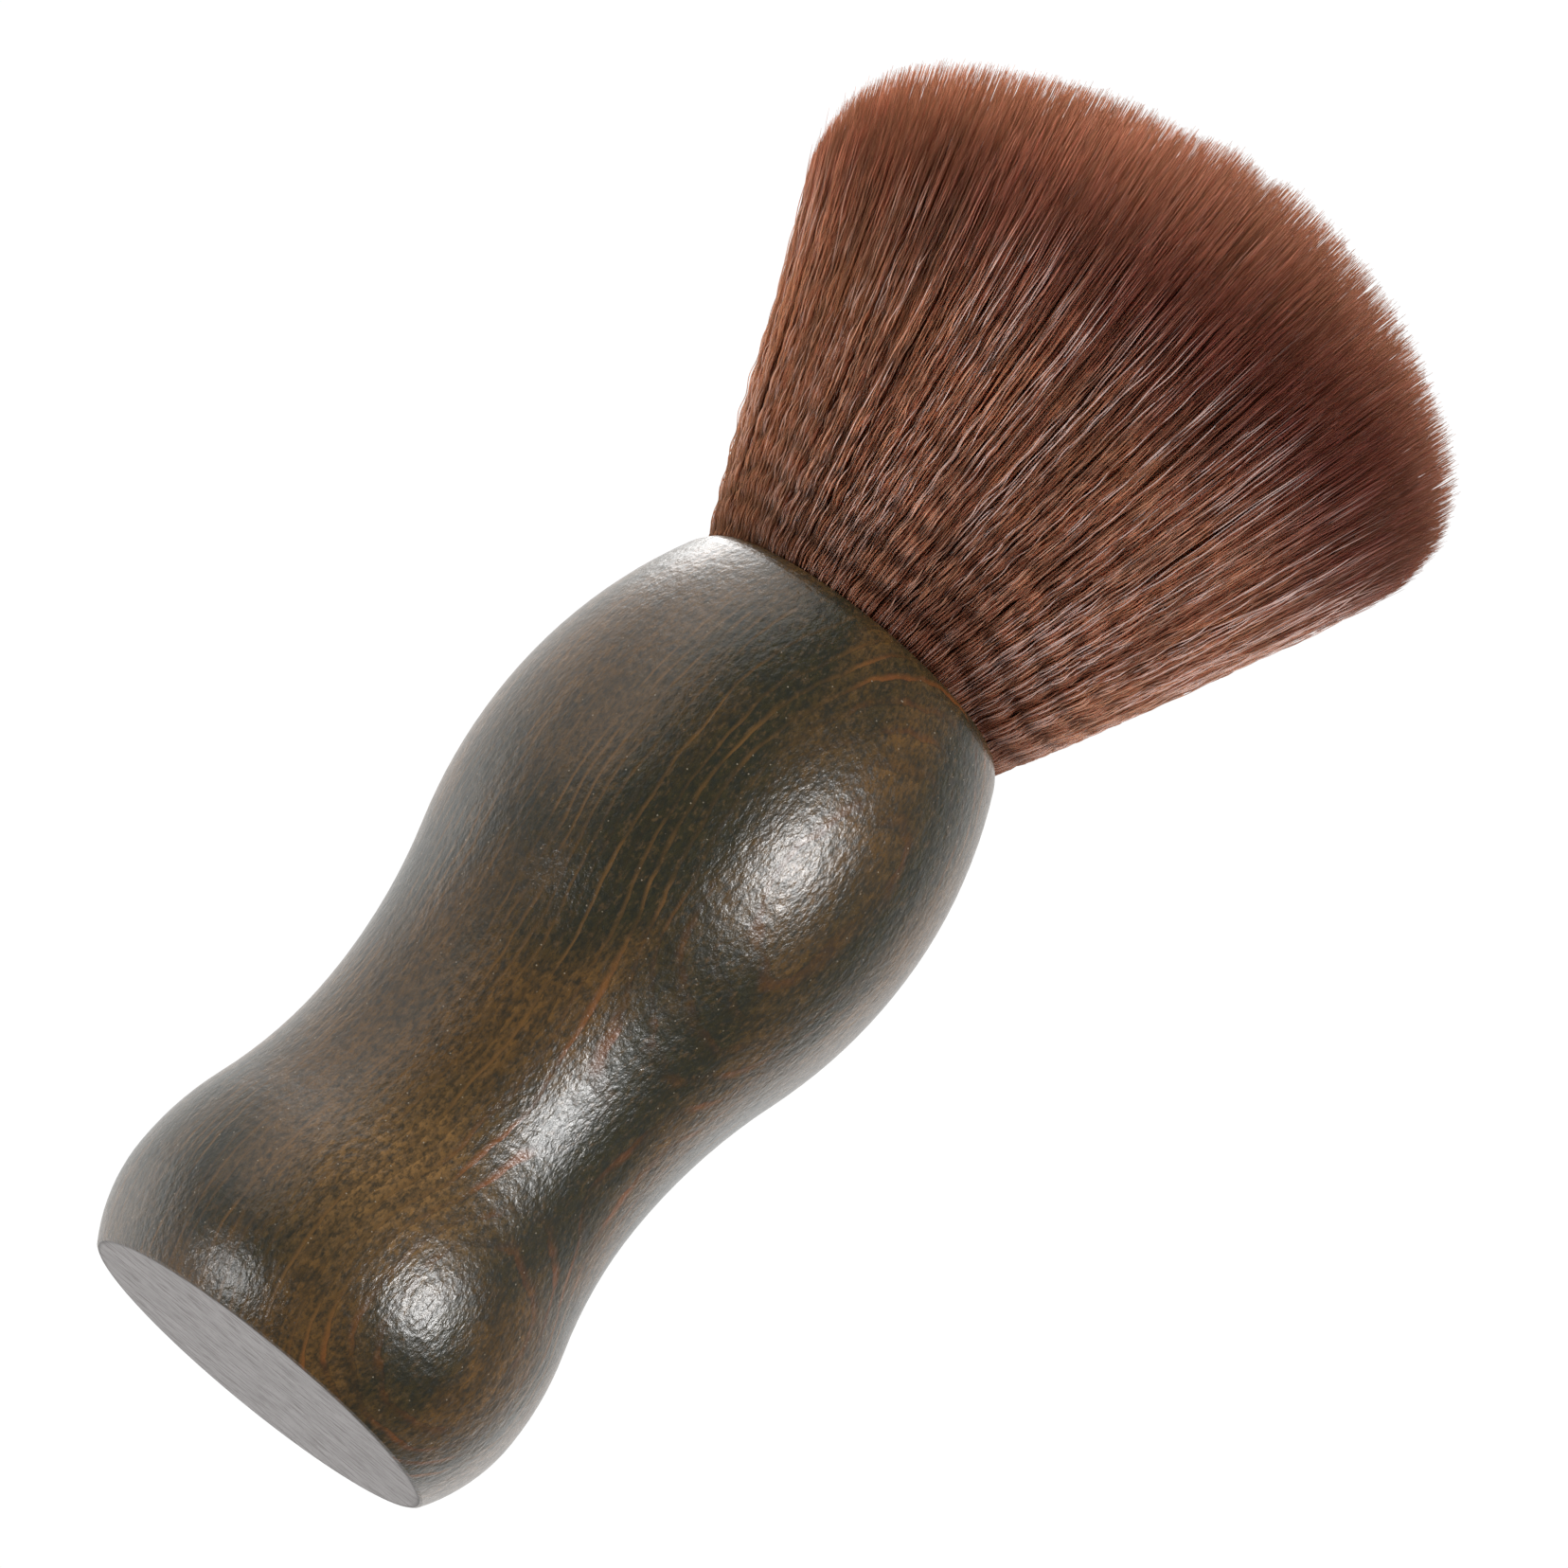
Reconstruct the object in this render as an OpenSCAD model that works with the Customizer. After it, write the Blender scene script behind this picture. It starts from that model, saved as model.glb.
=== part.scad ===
// Neck duster brush: a turned wooden handle with a glued-in knot of long crimped fibres.
// It stands on its flat butt: the origin is the centre of that face and +Z runs up to the fibre tips.

/* [Handle] */
// Height of the handle, from the butt face to the mouth where the fibres come out
handle_h = 98; // [92:0.5:104]
// Diameter of the flat butt face, measured to the sharp corner before it is eased
base_d = 42.6; // [38:0.2:46]
// Largest diameter of the butt bulge
butt_d = 49.2; // [47:0.2:51]
// Height of the butt bulge's largest diameter
butt_z = 11; // [8:0.5:13]
// Diameter of the waist
waist_d = 41; // [38:0.2:43]
// Height of the waist
waist_z = 36.7; // [33:0.1:41]
// Largest diameter of the shoulder
shoulder_d = 52; // [50:0.2:54]
// Height of the shoulder's largest diameter
shoulder_z = 72.9; // [69:0.1:76]
// Width and height of the eased corner round the butt face
base_ease = 0.2; // [0.1:0.05:0.5]
// Radius that rolls the rim over into the mouth
rim_r = 5.6; // [5:0.1:6]
// How far the rim has rolled over where it meets the socket, in degrees from level
rim_tilt = 40; // [35:1:45]

/* [Socket and knot] */
// Diameter of the blind socket bored down from the mouth
socket_d = 38.5; // [38:0.1:39]
// Depth of the socket below the mouth
socket_depth = 26; // [24:0.5:30]
// Thickness of the adhesive round the cup
glue_wall = 0.35; // [0.2:0.05:0.5]
// Thickness of the adhesive under the cup
glue_floor = 0.5; // [0.3:0.1:1]
// Wall thickness of the plastic cup that holds the fibre butts
cup_wall = 1.2; // [1:0.1:1.6]
// Thickness of the cup's floor
cup_floor = 1.5; // [1:0.1:2]
// How far the cup's edge stays below the mouth
cup_recess = 6; // [4:0.5:8]
// Thickness of the resin cast round the fibre butts
resin_h = 8; // [6:0.5:9]
// Diameter of the thread that ties the knot
thread_d = 0.8; // [0.6:0.1:1]
// Turns of thread round the knot
thread_turns = 3; // [2:1:4]

/* [Fibres] */
// Height of the brush from the butt face to the top of the domed tips
overall_h = 165; // [160:0.5:170]
// Largest diameter of the fan of fibres
fan_d = 78; // [72:0.5:82]
// Height of the fan's largest diameter
fan_z = 144; // [142:0.5:146]
// Radius of the round edge between the fan's side and its domed top
fan_edge_r = 10.9; // [9:0.1:12]
// Diameter of the fibre bundle where it leaves the mouth
mouth_bundle_d = 38.3; // [37.5:0.1:38.4]
// Sectors that the middle ring of fibres is sorted into
middle_tufts = 6; // [4:1:8]
// Sectors that the outer ring of fibres is sorted into
outer_tufts = 12; // [8:1:16]
// Share of the bundle's radius taken by the core
core_share = 0.36; // [0.3:0.02:0.44]
// Share of the bundle's radius inside the outer ring
middle_share = 0.7; // [0.6:0.02:0.8]

/* [Hidden] */
$fn = 96;
// air left between pieces that touch along a curve
gap = 0.03;
// furthest that an arc's flats stray from the true arc
arc_error = 0.01;
// flats along the dome of tips and round its edge, on the soft fibre solids only
dome_steps = 6;
edge_steps = 6;
// how much of the run between a bulge and the waist is curved as the bulge; the rest curves as the waist
butt_share = 0.41;
shoulder_share = 0.47;

base_r = base_d / 2;
butt_r = butt_d / 2;
waist_r = waist_d / 2;
shoulder_r = shoulder_d / 2;
socket_r = socket_d / 2;
socket_z = handle_h - socket_depth;

// The side of the handle is a chain of tangent arcs. Below the bulge one arc meets the butt face.
foot_arc_r = (pow(butt_r - base_r, 2) + pow(butt_z, 2)) / (2 * (butt_r - base_r));
// A bulge arc and the waist arc that meet tangentially have radii with this sum.
function arc_sum(high_r, low_r, dz) = (pow(high_r - low_r, 2) + dz * dz) / (2 * (high_r - low_r));
lower_sum = arc_sum(butt_r, waist_r, waist_z - butt_z);
upper_sum = arc_sum(shoulder_r, waist_r, shoulder_z - waist_z);
butt_arc_r = butt_share * lower_sum;
lower_waist_arc_r = lower_sum - butt_arc_r;
shoulder_arc_r = shoulder_share * upper_sum;
upper_waist_arc_r = upper_sum - shoulder_arc_r;
lower_bend_z = butt_z + (waist_z - butt_z) * butt_arc_r / lower_sum;
upper_bend_z = shoulder_z - (shoulder_z - waist_z) * shoulder_arc_r / upper_sum;

// The rim's arc, and the neck arc that runs up from the shoulder and is tangent to it
rim_x = socket_r - rim_r * sin(rim_tilt);
rim_z = handle_h - rim_r * cos(rim_tilt);
rim_dx = rim_x - shoulder_r;
rim_dz = rim_z - shoulder_z;
neck_arc_r = (rim_r * rim_r - rim_dx * rim_dx - rim_dz * rim_dz) / (2 * (rim_dx + rim_r));
rim_start_z = shoulder_z + rim_dz * neck_arc_r / (neck_arc_r - rim_r);

cup_r = socket_r - glue_wall;
cup_z = socket_z + glue_floor;
cup_top = handle_h - cup_recess;
bundle_r = cup_r - cup_wall - gap;
resin_z = cup_z + cup_floor;
butts_z = resin_z + resin_h;
thread_z = butts_z + 2 * thread_d;
groove_r = bundle_r - thread_d - gap;
groove_h = thread_turns * thread_d + 2 * gap;

// The fan's outline: a straight side, a round edge and a spherical dome, all tangent
mouth_bundle_r = mouth_bundle_d / 2;
fan_r = fan_d / 2;
edge_x = fan_r - fan_edge_r;
edge_rise = overall_h - fan_z;
dome_r = (edge_x * edge_x + edge_rise * edge_rise - fan_edge_r * fan_edge_r)
    / (2 * (edge_rise - fan_edge_r));
dome_z = overall_h - dome_r;
// polar angles, from the +X direction, at which the round edge starts and ends
dome_end_angle = atan2(fan_z - dome_z, edge_x);
side_length = norm([edge_x - mouth_bundle_r, fan_z - handle_h]);
side_angle = atan2(fan_z - handle_h, edge_x - mouth_bundle_r) - asin(fan_edge_r / side_length) - 90;

middle_names = [for (i = [1:middle_tufts]) str("middle_tuft_", i)];
outer_names = [for (i = [1:outer_tufts]) str("outer_tuft_", i)];

// Points along an arc round [x, z], from angle a0 to angle a1, leaving out the first
function arc(x, z, r, a0, a1) =
    let (n = max(2, ceil(abs(a1 - a0) / (2 * acos(1 - arc_error / r)))))
    [for (k = [1:n]) let (a = a0 + (a1 - a0) * k / n) [x + r * cos(a), z + r * sin(a)]];

// Right half of the handle's section, from the centre of the butt face up its side and down the socket
handle_section = let (
    foot = -asin((butt_z - base_ease) / foot_arc_r),
    lower_bend = asin((lower_bend_z - butt_z) / butt_arc_r),
    upper_bend = asin((shoulder_z - upper_bend_z) / shoulder_arc_r),
    rim_start = asin((rim_start_z - shoulder_z) / neck_arc_r))
    concat(
        [[0, 0], [base_r - base_ease, 0]],
        [[butt_r - foot_arc_r + foot_arc_r * cos(foot), base_ease]],
        arc(butt_r - foot_arc_r, butt_z, foot_arc_r, foot, 0),
        arc(butt_r - butt_arc_r, butt_z, butt_arc_r, 0, lower_bend),
        arc(waist_r + lower_waist_arc_r, waist_z, lower_waist_arc_r, 180 + lower_bend, 180),
        arc(waist_r + upper_waist_arc_r, waist_z, upper_waist_arc_r, 180, 180 - upper_bend),
        arc(shoulder_r - shoulder_arc_r, shoulder_z, shoulder_arc_r, -upper_bend, 0),
        arc(shoulder_r - neck_arc_r, shoulder_z, neck_arc_r, 0, rim_start),
        arc(rim_x, rim_z, rim_r, rim_start, 90 - rim_tilt),
        [[socket_r, socket_z], [0, socket_z]]);

module handle() {
    color([0.27, 0.2, 0.12]) rotate_extrude() polygon(handle_section);
}

module glue_bed() {
    color([0.85, 0.8, 0.6]) difference() {
        translate([0, 0, socket_z]) cylinder(r = socket_r, h = cup_top - socket_z);
        translate([0, 0, cup_z]) cylinder(r = cup_r, h = socket_depth);
    }
}

module knot_cup() {
    color([0.12, 0.12, 0.12]) difference() {
        translate([0, 0, cup_z]) cylinder(r = cup_r, h = cup_top - cup_z);
        translate([0, 0, resin_z]) cylinder(r = cup_r - cup_wall, h = socket_depth);
    }
}

module resin_plug() {
    color([0.75, 0.65, 0.4]) translate([0, 0, resin_z]) cylinder(r = cup_r - cup_wall, h = resin_h);
}

// Turns of thread, drawn as separate closed rings side by side in the groove they pull into the knot
module binding_thread() {
    color([0.9, 0.88, 0.8]) for (turn = [0:thread_turns - 1])
        translate([0, 0, thread_z + gap + (turn + 0.5) * thread_d])
            rotate_extrude() translate([groove_r + gap + thread_d / 2, 0]) circle(thread_d / 2 - gap);
}

// Point on the dome of tips at distance x from the axis
function dome_point(x) = [x, dome_z + sqrt(dome_r * dome_r - x * x)];

// Points along the dome from distance x0 to distance x1, from point number first on
function dome_arc(x0, x1, first = 0) =
    [for (k = [first:dome_steps]) dome_point(x0 + (x1 - x0) * k / dome_steps)];

// Straight run of the fibres at a share of the bundle's radius, from their butts to the mouth
function fibre_run(share) = [
    [share * bundle_r, butts_z], [share * bundle_r, cup_top], [share * mouth_bundle_r, handle_h]];

// Outside of the whole bundle, with the groove that the thread ties into it
outer_run = concat(
    [[bundle_r, butts_z], [bundle_r, thread_z], [groove_r, thread_z],
     [groove_r, thread_z + groove_h], [bundle_r, thread_z + groove_h],
     [bundle_r, cup_top], [mouth_bundle_r, handle_h]],
    [for (k = [0:edge_steps])
        let (a = side_angle + (dome_end_angle - side_angle) * k / edge_steps)
        [edge_x, fan_z] + fan_edge_r * [cos(a), sin(a)]]);
dome_end_x = dome_r * cos(dome_end_angle);

// Fibres that stand between two shares of the bundle's radius
module fibre_ring(inner, outer, angle) {
    run = outer < 1 ? concat(fibre_run(outer), dome_arc(outer * fan_r, inner * fan_r))
        : concat(outer_run, dome_arc(dome_end_x, inner * fan_r, first = 1));
    back = inner > 0 ? fibre_run(inner) : [[0, butts_z]];
    last = len(back) - 1;
    rotate_extrude(angle = angle) polygon(concat(run, [for (k = [0:last]) back[last - k]]));
}

module core_tuft() {
    color([0.33, 0.15, 0.1]) fibre_ring(0, core_share, 360);
}

module middle_tuft(i) {
    sector = 360 / middle_tufts;
    color([0.38, 0.18, 0.12]) rotate([0, 0, (i - 1) * sector])
        fibre_ring(core_share, middle_share, sector);
}

module outer_tuft(i) {
    sector = 360 / outer_tufts;
    color([0.45, 0.22, 0.14]) rotate([0, 0, (i - 1) * sector])
        fibre_ring(middle_share, 1, sector);
}

handle();
glue_bed();
knot_cup();
resin_plug();
binding_thread();
core_tuft();
for (i = [1:middle_tufts]) middle_tuft(i);
for (i = [1:outer_tufts]) outer_tuft(i);
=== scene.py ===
import math

import bpy
import numpy as np
from mathutils import Matrix, Vector


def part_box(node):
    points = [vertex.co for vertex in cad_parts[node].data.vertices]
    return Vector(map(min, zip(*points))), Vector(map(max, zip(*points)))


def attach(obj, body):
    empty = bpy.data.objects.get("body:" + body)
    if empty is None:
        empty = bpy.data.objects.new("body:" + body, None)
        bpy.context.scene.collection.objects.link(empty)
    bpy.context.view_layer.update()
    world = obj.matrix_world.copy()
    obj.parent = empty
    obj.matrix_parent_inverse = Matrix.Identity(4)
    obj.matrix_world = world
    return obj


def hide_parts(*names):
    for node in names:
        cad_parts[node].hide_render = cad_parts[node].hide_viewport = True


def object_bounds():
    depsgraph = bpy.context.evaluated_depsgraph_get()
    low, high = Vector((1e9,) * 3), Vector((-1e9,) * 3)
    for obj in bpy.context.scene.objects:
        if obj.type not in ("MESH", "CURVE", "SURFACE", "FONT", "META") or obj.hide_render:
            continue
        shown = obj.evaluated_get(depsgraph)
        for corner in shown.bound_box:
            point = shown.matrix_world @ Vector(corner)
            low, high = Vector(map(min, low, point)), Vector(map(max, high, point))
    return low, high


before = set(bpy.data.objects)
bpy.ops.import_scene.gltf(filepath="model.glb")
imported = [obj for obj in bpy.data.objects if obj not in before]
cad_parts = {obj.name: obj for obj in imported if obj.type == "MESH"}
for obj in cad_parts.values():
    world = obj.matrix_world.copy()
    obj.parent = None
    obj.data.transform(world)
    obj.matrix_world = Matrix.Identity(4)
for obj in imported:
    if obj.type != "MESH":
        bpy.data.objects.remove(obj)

CAD_LOW, CAD_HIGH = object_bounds()
HANDLE_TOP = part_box("handle")[1].z
FAN_RADIUS = CAD_HIGH.x
FAN_TOP = CAD_HIGH.z

# ---------------------------------------------------------------- camera

CAMERA_DISTANCE = 1.080      # from the handle's axis
CAMERA_DROP = 0.1693         # below the butt face, so that the face shows
AIM_HEIGHT = 0.08316         # the camera is aimed here, near the brush's middle
AIM_SIDE = 0.00316
LENS_MM = 244.3
ROLL_DEGREES = 39.43         # turns the handle's axis towards the upper right


def make_camera():
    data = bpy.data.cameras.new("camera")
    data.lens = LENS_MM
    data.sensor_width = 36.0
    data.clip_start, data.clip_end = 0.01, 20.0
    camera = bpy.data.objects.new("camera", data)
    bpy.context.scene.collection.objects.link(camera)
    place = Vector((0.0, -CAMERA_DISTANCE, -CAMERA_DROP))
    aim = Vector((AIM_SIDE, 0.0, AIM_HEIGHT)) - place
    upright = aim.to_track_quat("-Z", "Y").to_matrix().to_4x4()
    roll = Matrix.Rotation(math.radians(ROLL_DEGREES), 4, "Z")
    camera.matrix_world = Matrix.Translation(place) @ upright @ roll
    bpy.context.scene.camera = camera


# ---------------------------------------------------------------- node helpers

def new_material(name):
    """An empty node material, its node tree and its output."""
    material = bpy.data.materials.new(name)
    material.use_nodes = True
    tree = material.node_tree
    tree.nodes.clear()
    return material, tree, tree.nodes.new("ShaderNodeOutputMaterial")


def feed(tree, socket, value):
    """Links an output to a socket, or sets the socket to a plain value."""
    if isinstance(value, bpy.types.NodeSocket):
        tree.links.new(value, socket)
    else:
        socket.default_value = value


def maths(tree, operation, a, b=0.0):
    node = tree.nodes.new("ShaderNodeMath")
    node.operation = operation
    feed(tree, node.inputs[0], a)
    feed(tree, node.inputs[1], b)
    return node.outputs[0]


def product(tree, first, *others):
    for other in others:
        first = maths(tree, "MULTIPLY", first, other)
    return first


def vector_maths(tree, operation, a, b=(0.0, 0.0, 0.0)):
    node = tree.nodes.new("ShaderNodeVectorMath")
    node.operation = operation
    feed(tree, node.inputs[0], a)
    feed(tree, node.inputs[1], b)
    return node.outputs["Value"] if operation in ("DOT_PRODUCT", "LENGTH") else node.outputs[0]


def ramp(tree, value, low, high, to_low=0.0, to_high=1.0):
    """Smooth step of value between low and high."""
    node = tree.nodes.new("ShaderNodeMapRange")
    node.interpolation_type = "SMOOTHSTEP"
    for socket, number in zip(node.inputs, (value, low, high, to_low, to_high)):
        feed(tree, socket, number)
    return node.outputs[0]


def mix_colour(tree, share, a, b, blend="MIX"):
    node = tree.nodes.new("ShaderNodeMix")
    node.data_type = "RGBA"
    node.blend_type = blend
    feed(tree, node.inputs["Factor"], share)
    feed(tree, node.inputs["A"], a if isinstance(a, bpy.types.NodeSocket) else (*a, 1.0))
    feed(tree, node.inputs["B"], b if isinstance(b, bpy.types.NodeSocket) else (*b, 1.0))
    return node.outputs["Result"]


def overlaid(tree, colour, pattern, span, most, tint):
    """The colour with a tint over it: none at the start of the pattern's span, and the most at its end."""
    return mix_colour(tree, ramp(tree, pattern, *span, 0.0, most), colour, tint)


def object_point(tree):
    return tree.nodes.new("ShaderNodeTexCoord").outputs["Object"]


def stretched(tree, point, across, along):
    """The point scaled to cells per metre across and along the handle's axis."""
    return vector_maths(tree, "MULTIPLY", point, (across, across, along))


def noise(tree, point, detail=3.0, roughness=0.5):
    """Noise at a point that is already scaled to cells."""
    node = tree.nodes.new("ShaderNodeTexNoise")
    node.inputs["Scale"].default_value = 1.0
    node.inputs["Detail"].default_value = detail
    node.inputs["Roughness"].default_value = roughness
    tree.links.new(point, node.inputs["Vector"])
    return node.outputs["Fac"]


def bump(tree, height, distance, strength, normal=None):
    node = tree.nodes.new("ShaderNodeBump")
    node.inputs["Strength"].default_value = strength
    node.inputs["Distance"].default_value = distance
    tree.links.new(height, node.inputs["Height"])
    if normal is not None:
        tree.links.new(normal, node.inputs["Normal"])
    return node.outputs[0]


def principled(tree, colour, roughness, normal=None):
    shader = tree.nodes.new("ShaderNodeBsdfPrincipled")
    feed(tree, shader.inputs["Base Color"], colour)
    feed(tree, shader.inputs["Roughness"], roughness)
    if normal is not None:
        feed(tree, shader.inputs["Normal"], normal)
    return shader


def mixed_shader(tree, share, first, second):
    node = tree.nodes.new("ShaderNodeMixShader")
    feed(tree, node.inputs[0], share)
    tree.links.new(first.outputs[0], node.inputs[1])
    tree.links.new(second.outputs[0], node.inputs[2])
    return node


# ---------------------------------------------------------------- stained wood

RING_FACING = math.radians(34.0)   # which way round the handle the growth rings lie flat
RING_SPACING = 0.00128
RING_START = 0.1                   # counts the rings from outside the handle, so no count is negative
RING_OFFSET = 0.00090              # slides the whole pattern of rings through the wood
RING_CURVE = -5.0                  # bends them round the tree's middle
RING_SLANT = 0.010                 # leans them along the handle
# how the rings waver: cells per metre across and along, detail, and metres from end to end
RING_DRIFT = (45.0, 20.0, 2.0, 0.0034)
RING_WAVE = (190.0, 110.0, 2.0, 0.0013)
RING_RAGGED = (1100.0, 420.0, 3.0, 0.00026)
RING_ORANGE, RING_OCHRE = (0.300, 0.085, 0.018), (0.165, 0.084, 0.026)

PATCH_CELLS = (75.0, 30.0)
PATCH_SHIFT = (4.7, 0.0, 0.9)      # moves the pattern of amber patches round the handle
PALE_MIDDLE = (-0.002, -0.024, 0.021)   # of the palest wood, low on the butt bulge
AMBER, OLIVE, BLACK = (0.150, 0.078, 0.024), (0.038, 0.033, 0.015), (0.009, 0.013, 0.011)
PALE_WOOD, LATE_WOOD = (0.290, 0.158, 0.056), (0.024, 0.018, 0.008)
GLOW, PORES, DUST = (0.160, 0.092, 0.040), (0.014, 0.014, 0.009), (0.40, 0.34, 0.26)
SPECKS_PER_METRE = 1100.0
END_PALE, END_DARK = (0.375, 0.350, 0.345), (0.190, 0.168, 0.160)
END_CLOUD, END_EDGE = (0.230, 0.212, 0.205), (0.040, 0.032, 0.026)
END_EDGE_RADII = (0.0206, 0.0211)  # the butt face darkens between these
END_HEIGHT = 0.00004               # wood lower than this is the butt face


def waver(tree, point, across, along, detail, reach):
    """A noise about zero, as a distance."""
    value = noise(tree, stretched(tree, point, across, along), detail=detail)
    return product(tree, maths(tree, "SUBTRACT", value, 0.5), reach)


def growth_rings(tree, point):
    """Ring lines, stronger in some years; the place within each year; and 1 where the rings lie flat."""
    facing = (math.sin(RING_FACING), -math.cos(RING_FACING), 0.0)
    depth = vector_maths(tree, "DOT_PRODUCT", point, facing)
    sideways = vector_maths(tree, "DOT_PRODUCT", point, (facing[1], -facing[0], 0.0))
    curved = product(tree, sideways, sideways, RING_CURVE)
    slow = maths(tree, "ADD", waver(tree, point, *RING_DRIFT), waver(tree, point, *RING_WAVE))
    ragged = waver(tree, point, *RING_RAGGED)
    slant = vector_maths(tree, "DOT_PRODUCT", point, (0.0, 0.0, RING_SLANT))
    total = maths(tree, "ADD", maths(tree, "ADD", depth, curved), maths(tree, "ADD", slow, ragged))
    total = maths(tree, "ADD", maths(tree, "ADD", total, slant), RING_START + RING_OFFSET)
    total = maths(tree, "DIVIDE", total, RING_SPACING)
    year = maths(tree, "FRACT", total)
    line = product(tree, ramp(tree, year, 0.60, 0.89), ramp(tree, year, 1.0, 0.92))
    chance = tree.nodes.new("ShaderNodeTexWhiteNoise")
    chance.noise_dimensions = "1D"
    feed(tree, chance.inputs["W"], maths(tree, "FLOOR", total))
    strong = ramp(tree, chance.outputs["Value"], 0.10, 0.90, 0.05, 1.0)
    flat = ramp(tree, maths(tree, "ABSOLUTE", sideways), 0.014, 0.005)
    # a line smears wide where the surface runs with its ring, so it is faded there
    normal = tree.nodes.new("ShaderNodeNewGeometry").outputs["Normal"]
    along = maths(tree, "ABSOLUTE", vector_maths(tree, "DOT_PRODUCT", normal, facing))
    thin = ramp(tree, along, 0.998, 0.955, 0.12, 1.0)
    return product(tree, line, strong, thin), year, flat


def specks(tree, point):
    """Small pale grains of dust caught in the lacquer."""
    cells = tree.nodes.new("ShaderNodeTexVoronoi")
    cells.inputs["Scale"].default_value = SPECKS_PER_METRE
    feed(tree, cells.inputs["Vector"], point)
    split = tree.nodes.new("ShaderNodeSeparateColor")
    feed(tree, split.inputs[0], cells.outputs["Color"])
    chosen = maths(tree, "GREATER_THAN", split.outputs[0], 0.62)
    return product(tree, ramp(tree, cells.outputs["Distance"], 0.12, 0.06), chosen)


def wood_colour(tree, point):
    """Dark olive-brown stain that lets amber wood show in patches, with mottles, rings and specks."""
    shifted = vector_maths(tree, "ADD", stretched(tree, point, *PATCH_CELLS), PATCH_SHIFT)
    patches = noise(tree, shifted, detail=3.0, roughness=0.55)
    colour = mix_colour(tree, ramp(tree, patches, 0.38, 0.62), OLIVE, AMBER)
    away = vector_maths(tree, "LENGTH", vector_maths(tree, "SUBTRACT", point, PALE_MIDDLE))
    away = maths(tree, "ADD", away, product(tree, patches, 0.010))
    colour = overlaid(tree, colour, away, (0.022, 0.006), 0.85, PALE_WOOD)
    line, year, flat = growth_rings(tree, point)
    colour = mix_colour(tree, product(tree, year, 0.50), colour, LATE_WOOD)
    mottle = noise(tree, stretched(tree, point, 1300.0, 800.0), detail=5.0, roughness=0.74)
    colour = overlaid(tree, colour, mottle, (0.36, 0.68), 0.74, BLACK)
    glow = noise(tree, stretched(tree, point, 1700.0, 900.0), detail=4.0, roughness=0.70)
    colour = overlaid(tree, colour, glow, (0.50, 0.70), 0.45, GLOW)
    grain = noise(tree, stretched(tree, point, 2700.0, 1200.0), detail=3.0, roughness=0.65)
    colour = overlaid(tree, colour, grain, (0.46, 0.64), 0.60, PORES)
    broken = ramp(tree, noise(tree, stretched(tree, point, 170.0, 110.0), detail=2.0), 0.42, 0.62, 0.04, 0.62)
    kept = maths(tree, "ADD", broken, product(tree, maths(tree, "SUBTRACT", 1.0, flat), 0.16))
    ring = mix_colour(tree, flat, RING_OCHRE, RING_ORANGE)
    colour = mix_colour(tree, product(tree, line, kept), colour, ring)
    colour = mix_colour(tree, product(tree, specks(tree, point), 0.6), colour, DUST)
    return colour, grain, mottle


def flat_end(tree, point):
    """1 on the butt face's end grain and 0 on the turned side."""
    height = vector_maths(tree, "DOT_PRODUCT", point, (0.0, 0.0, 1.0))
    return maths(tree, "LESS_THAN", height, END_HEIGHT)


def end_grain(tree, point):
    """The sanded grey end of the wood: short fine lines across it and a darker edge."""
    across = vector_maths(tree, "MULTIPLY", point, (260.0, 1500.0, 1.0))
    strokes = noise(tree, across, detail=5.0, roughness=0.68)
    colour = mix_colour(tree, ramp(tree, strokes, 0.46, 0.60), END_PALE, END_DARK)
    cloud = noise(tree, vector_maths(tree, "MULTIPLY", point, (90.0, 140.0, 1.0)), detail=2.0)
    colour = overlaid(tree, colour, cloud, (0.35, 0.70), 0.35, END_CLOUD)
    radius = vector_maths(tree, "LENGTH", vector_maths(tree, "MULTIPLY", point, (1.0, 1.0, 0.0)))
    return overlaid(tree, colour, radius, END_EDGE_RADII, 0.60, END_EDGE)


def stained_wood():
    """The stain under a wrinkled lacquer, glossy on the turned side and duller on the butt face."""
    material, tree, output = new_material("stained_wood_lacquered")
    point = object_point(tree)
    colour, grain, mottle = wood_colour(tree, point)
    end = flat_end(tree, point)
    colour = mix_colour(tree, end, colour, end_grain(tree, point))
    wrinkle = noise(tree, stretched(tree, point, 1500.0, 950.0), detail=3.0, roughness=0.62)
    swell = noise(tree, stretched(tree, point, 420.0, 300.0), detail=2.0)
    normal = bump(tree, swell, 0.00012, 0.6)
    normal = bump(tree, wrinkle, 0.00013, 0.8, normal)
    rough = maths(tree, "ADD", ramp(tree, mottle, 0.3, 0.7, 0.23, 0.31), product(tree, grain, 0.05))
    rough = maths(tree, "ADD", rough, product(tree, end, 0.30))
    shader = principled(tree, colour, rough, normal)
    shader.inputs["Specular IOR Level"].default_value = 0.55
    tree.links.new(shader.outputs[0], output.inputs["Surface"])
    return material


# ---------------------------------------------------------------- fibre shapes

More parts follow.
